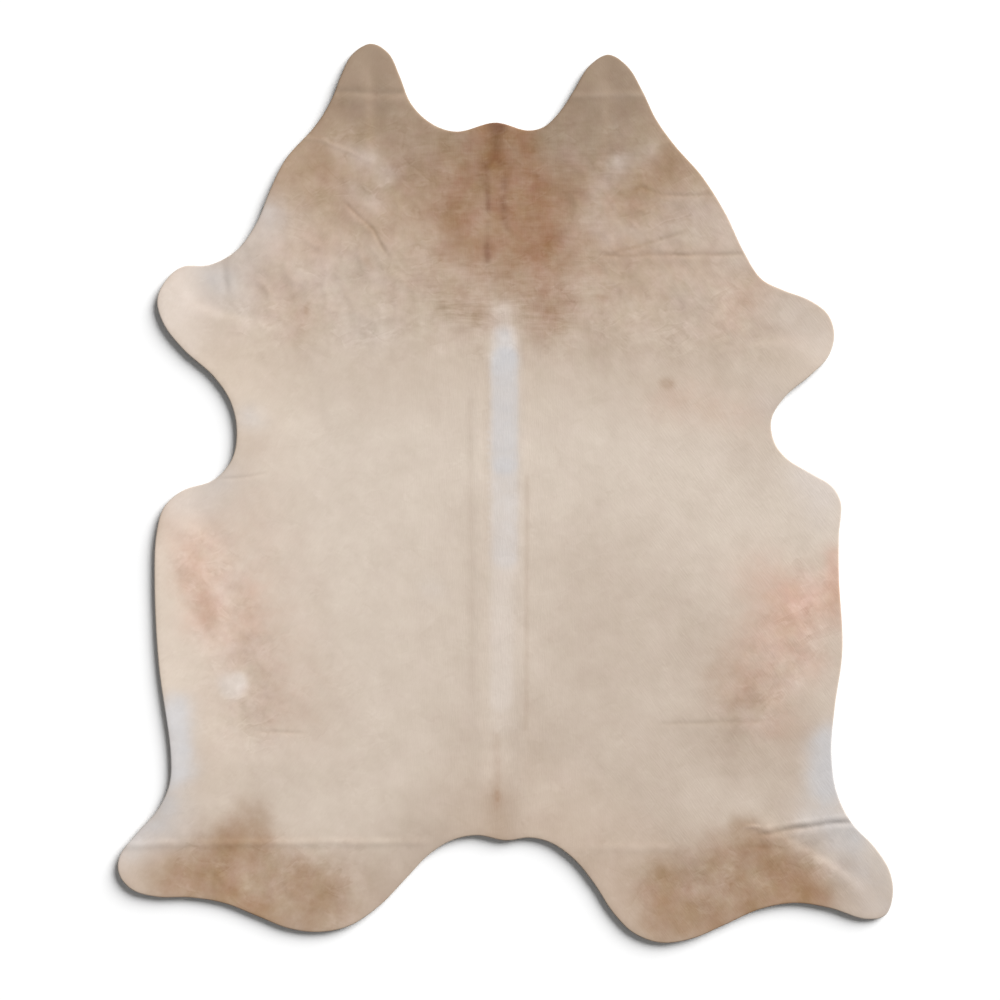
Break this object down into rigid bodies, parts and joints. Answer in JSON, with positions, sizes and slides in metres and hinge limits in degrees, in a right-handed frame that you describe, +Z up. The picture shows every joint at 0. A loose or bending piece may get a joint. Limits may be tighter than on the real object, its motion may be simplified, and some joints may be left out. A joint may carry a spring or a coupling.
{
  "type": "leather hide",
  "caption": "Flat natural cowhide rug with its short coat on, in the outline of the skin with neck, foreleg and hind-leg lobes.",
  "frame": {"origin": "middle of the footprint, on the floor the hide lies on", "axes": "+Z up through the hair side, +Y along the spine towards the neck and ears"},
  "size_m": [1.9746, 2.2902, 0.0158],
  "materials": {
    "coat": "short pale beige cow hair on tanned leather, matt with a faint sheen"
  },
  "bodies": {
    "root": {"hide": "coat"}
  },
  "joints": []
}
